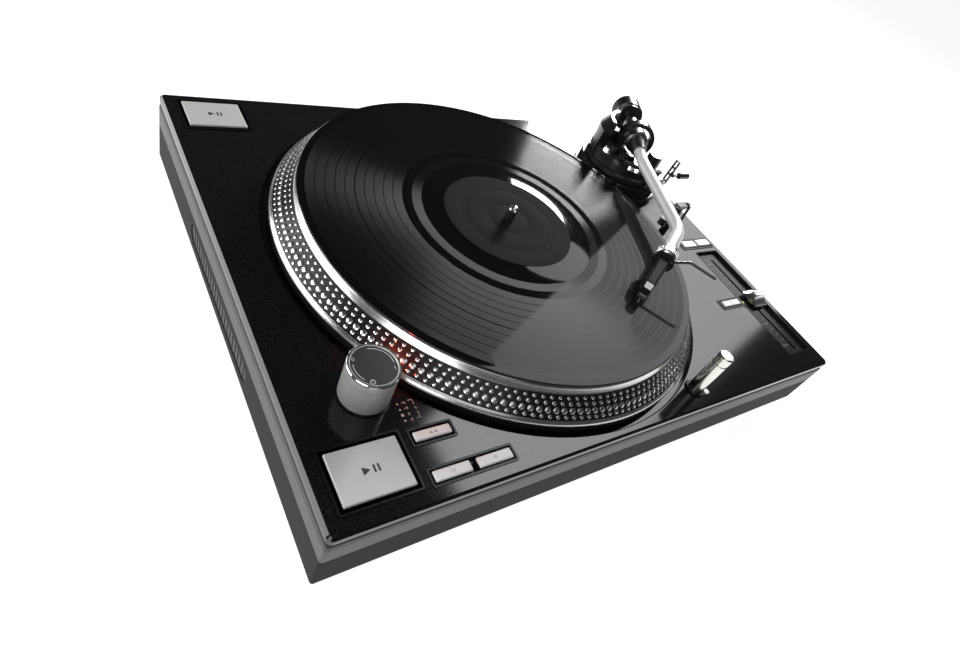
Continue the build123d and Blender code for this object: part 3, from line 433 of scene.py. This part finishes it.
PLATTER_PROFILE = [
    (5.0, 13.0, 1), (65, 13.0, 1), (140, 13.0, 1), (146, 10.0, 1), (156, -1.4, 1), (164.8, -1.4, 1),
    (165.4, -0.8, 0), (165.4, 3.6, 1), (165.3, 4.6, 1), (164.8, 5.4, 1), (163.9, 6.2, 1), (163.3, 6.75, 0),
    (152.3, 16.55, 0), (151.7, 17.1, 1), (151.3, 17.5, 1), (150.1, 20.3, 1), (149.6, 21.1, 1),
    (149.0, 21.45, 1), (148.4, 21.5, 1), (5.0, 21.5, 1),
]
platter = lathe("platter_body", PLATTER_PROFILE, SPINDLE, 288, [M["platter_black"], M["platter_metal"]],
                "platter")
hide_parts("platter")

# Radius on the cone, number of dots, radius and height of one dot.
DOT_ROWS = [(161.6, 186, 1.2, 0.3), (158.8, 180, 1.9, 0.4), (155.7, 174, 1.25, 0.3), (153.2, 168, 1.1, 0.3)]
slope = Vector((BAND_RISE, 0, BAND_RUN)).normalized()
for row, (r, count, radius, height) in enumerate(DOT_ROWS):
    bm = bmesh.new()
    for i in range(count):
        a = 2 * math.pi * (i + 0.5 * (row % 2)) / count
        out = Vector((math.cos(a), math.sin(a), 0))
        centre = SPINDLE + out * r * MM + UP * (DECK.z + band_z(r) * MM)
        dome(bm, centre, out * slope.x + UP * slope.z, radius * MM, height * MM)
    to_object("strobe_dots_%d" % (row + 1), bm, [M["dot"]], "platter", angle=50.0)

HOLE_R = 3.62
GAP_FIRST, GAP_STEP, GAP_COUNT, GAP_WIDE = 87.25, 6.53, 9, 4
record_profile = [(HOLE_R, 23.02, 1), (150.1, 23.02, 1), (150.6, 23.4, 1), (150.8, 23.8, 1), (150.7, 24.2, 1),
                  (150.3, RECORD_BEAD, 1), (147.6, RECORD_BEAD, 1), (145.6, RECORD_TOP, 0)]
for index in reversed(range(GAP_COUNT)):
    gap = GAP_FIRST + GAP_STEP * index
    half = 0.42 if index == GAP_WIDE else 0.26
    record_profile += [(gap + half, RECORD_TOP, 1), (gap - half, RECORD_TOP, 0)]
record_profile += [(80.6, RECORD_TOP, 1), (73.6, RECORD_TOP, 0), (66.6, RECORD_TOP, 1), (51.6, RECORD_TOP, 1),
                   (50.9, RECORD_BEAD, 1), (HOLE_R, RECORD_BEAD, 1)]
record = lathe("record_disc", record_profile, SPINDLE, 360, [M["groove"], M["land"]], "platter")
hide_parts("record")

label_profile = [
    (HOLE_R, 24.6, 0), (HOLE_R, 24.7, 0), (15.6, 24.7, 0), (16.0, 24.62, 0), (16.5, 24.62, 0),
    (16.9, 24.7, 0), (34.2, 24.7, 0), (35.0, 24.61, 0), (36.4, 24.61, 0), (37.2, 24.7, 0),
    (48.6, 24.72, 0), (49.6, 24.72, 0), (50.0, 24.66, 0), (50.0, 24.6, 0),
]
label = lathe("label_disc", label_profile, SPINDLE, 240, [M["label"]], "platter")
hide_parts("record_label")


# ------------------------------------------------------------------ printed marks and small fittings

def flat_piece(name, polygons, texts, z, mat, body):
    """Flat printed marks: polygons and generic digits in deck millimetres, just above height z."""
    bm = bmesh.new()
    for polygon in polygons:
        bm.faces.new([bm.verts.new(at(x, y, z + MARK_LIFT)) for x, y in polygon])
    for body_text, x, y, size in texts:
        curve = bpy.data.curves.new("digits", "FONT")
        curve.body = body_text
        curve.size = size * MM
        curve.align_x = "CENTER"
        curve.align_y = "CENTER"
        holder = bpy.data.objects.new("digits", curve)
        bpy.context.scene.collection.objects.link(holder)
        bpy.context.view_layer.update()
        mesh = bpy.data.meshes.new_from_object(holder.evaluated_get(bpy.context.evaluated_depsgraph_get()))
        mesh.transform(Matrix.Translation(at(x, y, z + MARK_LIFT)))
        bm.from_mesh(mesh)
        bpy.data.objects.remove(holder)
        bpy.data.curves.remove(curve)
        bpy.data.meshes.remove(mesh)
    bmesh.ops.recalc_face_normals(bm, faces=bm.faces)
    for face in bm.faces:
        if face.normal.z < 0:
            face.normal_flip()
    return to_object(name, bm, [mat], body, smooth=False)


def line(x0, y0, x1, y1, width=0.3):
    """Corners of a straight stroke."""
    length = math.hypot(x1 - x0, y1 - y0)
    dx, dy = -(y1 - y0) / length * width / 2, (x1 - x0) / length * width / 2
    return [(x0 - dx, y0 - dy), (x1 - dx, y1 - dy), (x1 + dx, y1 + dy), (x0 + dx, y0 + dy)]


def spot(x, y, radius):
    """Corners of a round dot."""
    return [(x + radius * math.cos(a), y + radius * math.sin(a)) for a in turned(20)]


def arc(x, y, radius, start, end, width=0.45, steps=24):
    """Short quads along an arc, with angles in degrees."""
    polygons = []
    for i in range(steps):
        a0 = math.radians(start + (end - start) * i / steps)
        a1 = math.radians(start + (end - start) * (i + 1) / steps)
        polygons.append([(x + r * math.cos(a), y + r * math.sin(a))
                         for r, a in ((radius - width / 2, a0), (radius + width / 2, a0),
                                      (radius + width / 2, a1), (radius - width / 2, a1))])
    return polygons


for key, (x, y) in {"start_button_front": (30.9, 26.9), "start_button_rear": (31.9, 328.0)}.items():
    flat_piece(key + "_mark", [
        [(x - 4.4, y - 2.3), (x - 0.2, y), (x - 4.4, y + 2.3)],
        line(x + 1.9, y - 2.2, x + 1.9, y + 2.2, 1.1), line(x + 4.3, y - 2.2, x + 4.3, y + 2.2, 1.1),
    ], [], KEY_TOP, M["print_black"], key)

for key, x, y, digits in (("speed_33_button", 71.5, 13.2, "33"), ("speed_45_button", 98.5, 13.0, "45"),
                          ("range_button_left", 413.6, 153.8, "8"),
                          ("range_button_right", 435.2, 154.2, "16")):
    flat_piece(key + "_mark", [], [(digits, x, y, 2.9)], KEY_TOP, M["print"], key)
flat_piece("reverse_button_mark", [
    [(70.9, 36.1), (70.9, 38.5), (68.5, 37.3)], [(73.9, 36.1), (73.9, 38.5), (71.5, 37.3)],
], [], KEY_TOP, M["print"], "reverse_button")
flat_piece("reset_button_mark", arc(397.2, 79.4, 1.3, 0, 360), [], KEY_TOP, M["print"], "reset_button")

flat_piece("speed_bracket", [
    line(71.5, 18.9, 71.5, 20.7), line(71.4, 20.6, 83.6, 20.6), line(89.0, 20.6, 98.2, 20.6),
    line(98.1, 20.7, 98.1, 18.9),
], [("78", 86.3, 20.4, 2.8)], 0.0, M["print_white"], "chassis")
flat_piece("strobe_legend", [
    spot(60.2, 59.3, 0.55), spot(60.2, 55.5, 0.6), spot(60.2, 52.0, 0.95), spot(60.2, 48.4, 0.6),
    line(66.6, 60.3, 69.6, 60.3), line(69.5, 60.4, 69.5, 56.9), line(69.5, 52.6, 69.5, 48.3),
    line(69.6, 48.4, 66.9, 48.4),
], [("+6", 63.9, 59.4, 2.5), ("+3", 63.9, 55.6, 2.5), ("0", 64.2, 51.9, 2.5), ("-3", 64.0, 48.3, 2.5),
    ("%", 69.5, 54.7, 2.2)], 0.0, M["print_white"], "chassis")

FADER_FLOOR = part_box("centre_led")[1].z / MM - DECK.z / MM - 0.3
SCALE_X, SCALE_Y, SCALE_STEP, SCALE_HALF = 427.6, 78.0, 6.25, 8
ticks = []
for step in range(-SCALE_HALF, SCALE_HALF + 1):
    if step != 0:
        y = SCALE_Y + step * SCALE_STEP
        reach = 3.4 if step % 4 == 0 else 1.8
        ticks.append(line(SCALE_X - reach, y, SCALE_X, y))
flat_piece("pitch_scale", ticks,
           [(digits, 421.4, SCALE_Y + step * SCALE_STEP, 2.6)
            for digits, step in (("+8", -8), ("+4", -4), ("-4", 4), ("-8", 8))],
           FADER_FLOOR, M["print"], "chassis")

TOWER_C = at(TOWER_X, TOWER_Y) - UP * DECK.z
lathe("knob_inlay", [(0.05, 24.62, 0), (12.5, 24.62, 0), (12.5, KNOB_TOP, 0), (0.05, KNOB_TOP, 0)], TOWER_C,
      96, [M["knob_black"]], "power_knob")
lathe("knob_rim", [(13.0, 24.7, 0), (13.1, 25.14, 0), (14.05, 25.14, 0), (14.46, 24.62, 0), (14.46, 23.9, 0),
                   (14.3, 23.9, 0)], TOWER_C, 96, [M["rim_bright"]], "power_knob")
lathe("tower_foot", [(14.3, 0.0, 0), (15.3, 0.0, 0), (15.3, 1.05, 0), (14.3, 1.05, 0)], TOWER_C, 96,
      [M["frame"]], "chassis")
flat_piece("knob_marks",
           arc(TOWER_X, TOWER_Y, 11.0, -2, 88) + arc(TOWER_X, TOWER_Y, 11.0, 165, 222)
           + arc(40.2, 60.9, 1.3, 105, 435) + [line(40.2, 60.8, 40.2, 62.6, 0.4)],
           [("0", 35.5, 76.5, 3.4), ("1", 55.1, 66.6, 3.4)], KNOB_TOP, M["print_white"], "power_knob")


def hoop(name, centre, axis, inner, outer, length, mat, body):
    """Plain ring around an axis; centre is in the row frame, sizes in millimetres."""
    side, up, n = frame_axes(axis)
    bm = bmesh.new()
    rings = [[bm.verts.new(centre + n * shift * MM + (side * math.cos(a) + up * math.sin(a)) * radius * MM)
              for a in turned(48)]
             for radius, shift in ((inner, 0), (outer, 0), (outer, length), (inner, length))]
    for k in range(4):
        join_rings(bm, rings[k], rings[(k + 1) % 4])
    bmesh.ops.recalc_face_normals(bm, faces=bm.faces)
    return to_object(name, bm, [mat], body, angle=40.0)


for name, x, mat in (("phono_ring_white", 300.0, "white"), ("phono_ring_red", 316.0, "red_ring")):
    hoop(name, at(x, 341.9, -35), Vector((0, 1, 0)), 4.3, 5.4, 1.2, M[mat], "chassis")


def level_axes(angle):
    """Unit vectors along and to the left of a heading in the level plane."""
    return Vector((math.cos(angle), math.sin(angle), 0)), Vector((-math.sin(angle), math.cos(angle), 0))


# The arm's long axis, with its origin on the pivot.
ARM_TURN = math.radians(ARM_AZIMUTH)
ARM_AXIS, ARM_SIDE = level_axes(ARM_TURN)
ARM_AT = at(*ARM_PIVOT)
hoop("weight_line", ARM_AT + ARM_AXIS * -48.1 * MM, ARM_AXIS, 14.1, 14.55, 0.6, M["rim_bright"],
     "counterweight")

DIAL_R, DIAL_REAR, DIAL_LONG, DIAL_SHORT, DIAL_HALF = 13.46, -46.3, -43.9, -44.9, 0.2
bm = bmesh.new()
for index, a in enumerate(turned(36)):
    out = ARM_SIDE * math.cos(a) + UP * math.sin(a)
    along = out.cross(ARM_AXIS)
    reach = DIAL_LONG if index % 4 == 0 else DIAL_SHORT
    bm.faces.new([bm.verts.new(ARM_AT + (ARM_AXIS * x + out * DIAL_R + along * w) * MM)
                  for x, w in ((DIAL_REAR, -DIAL_HALF), (reach, -DIAL_HALF),
                               (reach, DIAL_HALF), (DIAL_REAR, DIAL_HALF))])
to_object("dial_ticks", bm, [M["print_white"]], "force_dial", smooth=False)

# The headshell is turned and tilted against the arm.
TILT = math.radians(HEAD_TILT)
HEAD_AT = ARM_AT + (ARM_AXIS * HEAD_ALONG + ARM_SIDE * HEAD_ASIDE) * MM
forward, sideways = level_axes(ARM_TURN - math.radians(HEAD_OFFSET_ANGLE))
nose = forward * math.cos(TILT) - UP * math.sin(TILT)
upward = forward * math.sin(TILT) + UP * math.cos(TILT)
bm = bmesh.new()
bm.faces.new([bm.verts.new(HEAD_AT + (nose * x + sideways * y + upward * z) * MM)
              for x, y, z in ((31.0, -2.9, 3.62), (36.2, -2.7, 2.7), (36.2, 2.7, 2.7), (31.0, 2.9, 3.62))])
to_object("head_tag", bm, [M["white"]], "tonearm", smooth=False)

lathe("lamp_collar", [(5.6, 0.0, 0), (7.6, 0.0, 0), (7.6, 1.0, 0), (7.0, 1.6, 0), (5.6, 1.6, 0)],
      at(LAMP_X, LAMP_Y) - UP * DECK.z, 64, [M["frame"]], "chassis")

# Dark index mark over the platter's shoulder.
MARKER_TURN, MARKER_HALF = math.radians(-55.2), 0.011
bm = bmesh.new()
corners = []
for r, z in ((148.5, 21.58), (149.1, 21.55), (150.3, 20.4), (151.5, 17.65)):
    for a in (MARKER_TURN - MARKER_HALF, MARKER_TURN + MARKER_HALF):
        place = Vector((r * math.cos(a), r * math.sin(a), z)) * MM
        corners.append(bm.verts.new(SPINDLE + place + UP * DECK.z))
for k in range(3):
    bm.faces.new((corners[2 * k], corners[2 * k + 2], corners[2 * k + 3], corners[2 * k + 1]))
to_object("platter_marker", bm, [M["knob_black"]], "platter", smooth=False)


# ------------------------------------------------------------------ stage, lights and camera

# Camera fitted with the deck's corners, the platter, the record and the arm's pivot as marks.
CAMERA_AT = (-0.30824, -0.26289, 0.32947)
CAMERA_TURN = (44.1694, -20.7454, -29.8941)
LENS = 22.5
SENSOR = 36.0
FLOOR_HALF = 40.0
FLOOR_GLOW = 0.92
CARD_Z = 1000.0
SIDE_CARD_X, SIDE_CARD_Y, SIDE_CARD_Z = -1500, (400, 2900), (200, 1000)
SIDE_CARD_GLOW = 5.0
WORLD_DIM = (0.05, 0.05, 0.053, 1)


def linked(name, data):
    obj = bpy.data.objects.new(name, data)
    bpy.context.scene.collection.objects.link(obj)
    return obj


def stage_mesh(name, corners, mat):
    mesh = bpy.data.meshes.new(name)
    mesh.from_pydata(corners, [], [tuple(range(len(corners)))])
    mesh.materials.append(mat)
    obj = linked(name, mesh)
    return obj


def emission_only(name):
    mat = bpy.data.materials.new(name)
    mat.use_nodes = True
    nodes, links = mat.node_tree.nodes, mat.node_tree.links
    nodes.clear()
    surface = nodes.new("ShaderNodeOutputMaterial")
    light = nodes.new("ShaderNodeEmission")
    links.new(light.outputs[0], surface.inputs["Surface"])
    return mat, nodes, links, light


floor_mat = finish_material("floor", grey(0.38), grey(0.42), (0.85, 0.95), grain=3, wash=1)
floor_shader = floor_mat.node_tree.nodes["Principled BSDF"]
floor_shader.inputs["Emission Color"].default_value = (1, 1, 1, 1)
floor_shader.inputs["Emission Strength"].default_value = FLOOR_GLOW
stage_mesh("floor", [(x * FLOOR_HALF, y * FLOOR_HALF, 0) for x, y in ((-1, -1), (1, -1), (1, 1), (-1, 1))],
           floor_mat)

# Level card over the right side, brighter at its near end. The record and deck mirror its straight edge.
card_mat, card_nodes, card_links, card_light = emission_only("card")
card_tex = card_nodes.new("ShaderNodeTexCoord")
card_split = card_nodes.new("ShaderNodeSeparateXYZ")
card_links.new(card_tex.outputs["Object"], card_split.inputs["Vector"])
card_links.new(ranged(card_nodes, card_links, card_split.outputs["X"], 6.0, 2.7, 0.42, 2.0),
               card_light.inputs["Strength"])
card = stage_mesh("card", [at(x, y, CARD_Z) for x, y in ((650, 545), (650, 140), (2700, 681), (2700, 1560))],
                  card_mat)
card.visible_camera = False

# Upright card beyond the left side.
side_mat, _, _, side_light = emission_only("side_card")
side_light.inputs["Strength"].default_value = SIDE_CARD_GLOW
side_card = stage_mesh("side_card", [at(SIDE_CARD_X, SIDE_CARD_Y[j], SIDE_CARD_Z[k])
                                     for j, k in ((0, 0), (1, 0), (1, 1), (0, 1))], side_mat)
side_card.visible_camera = False


def area_light(name, place, aim, size, radiance):
    """Rectangular light of a given radiance, turned to face a point."""
    data = bpy.data.lights.new(name, "AREA")
    data.shape = "RECTANGLE"
    data.size, data.size_y = size
    data.energy = radiance * math.pi * size[0] * size[1]
    obj = linked(name, data)
    obj.location = place
    obj.rotation_euler = (Vector(aim) - Vector(place)).to_track_quat("-Z", "Y").to_euler()


# The far light's mirror image falls just off the record, so that the grooves only catch its sheen.
area_light("far_right", at(2490, 1990, 1000), at(197, 175, 0), (0.7, 0.5), 75.0)
area_light("front_left", (-1.5, -0.95, 0.75), (0, 0, 0.03), (1.2, 0.8), 3.0)
area_light("key", (-0.7, -1.5, 2.1), (0, 0, 0.05), (1.4, 1.4), 0.7)

glow = bpy.data.lights.new("strobe_glow", "POINT")
glow.energy = 0.035
glow.color = (1.0, 0.08, 0.03)
glow.shadow_soft_size = 0.002
linked("strobe_glow", glow).location = at(59.5, 80.5, 13)

# White background for the camera, dim surroundings for everything else.
world = bpy.data.worlds.new("studio")
bpy.context.scene.world = world
world.use_nodes = True
world_nodes, world_links = world.node_tree.nodes, world.node_tree.links
world_nodes.clear()
path = world_nodes.new("ShaderNodeLightPath")
dim = world_nodes.new("ShaderNodeBackground")
dim.inputs["Color"].default_value = WORLD_DIM
white = world_nodes.new("ShaderNodeBackground")
white.inputs["Color"].default_value = (1, 1, 1, 1)
choose = world_nodes.new("ShaderNodeMixShader")
surroundings = world_nodes.new("ShaderNodeOutputWorld")
world_links.new(path.outputs["Is Camera Ray"], choose.inputs[0])
world_links.new(dim.outputs[0], choose.inputs[1])
world_links.new(white.outputs[0], choose.inputs[2])
world_links.new(choose.outputs[0], surroundings.inputs["Surface"])

cam = bpy.data.cameras.new("camera")
cam.sensor_width = SENSOR
cam.lens = LENS
cam.clip_start = 0.01
cam_obj = linked("camera", cam)
cam_obj.location = CAMERA_AT
cam_obj.rotation_euler = Euler([math.radians(v) for v in CAMERA_TURN], "XYZ")
bpy.context.scene.camera = cam_obj
bpy.context.scene.view_settings.view_transform = "Standard"
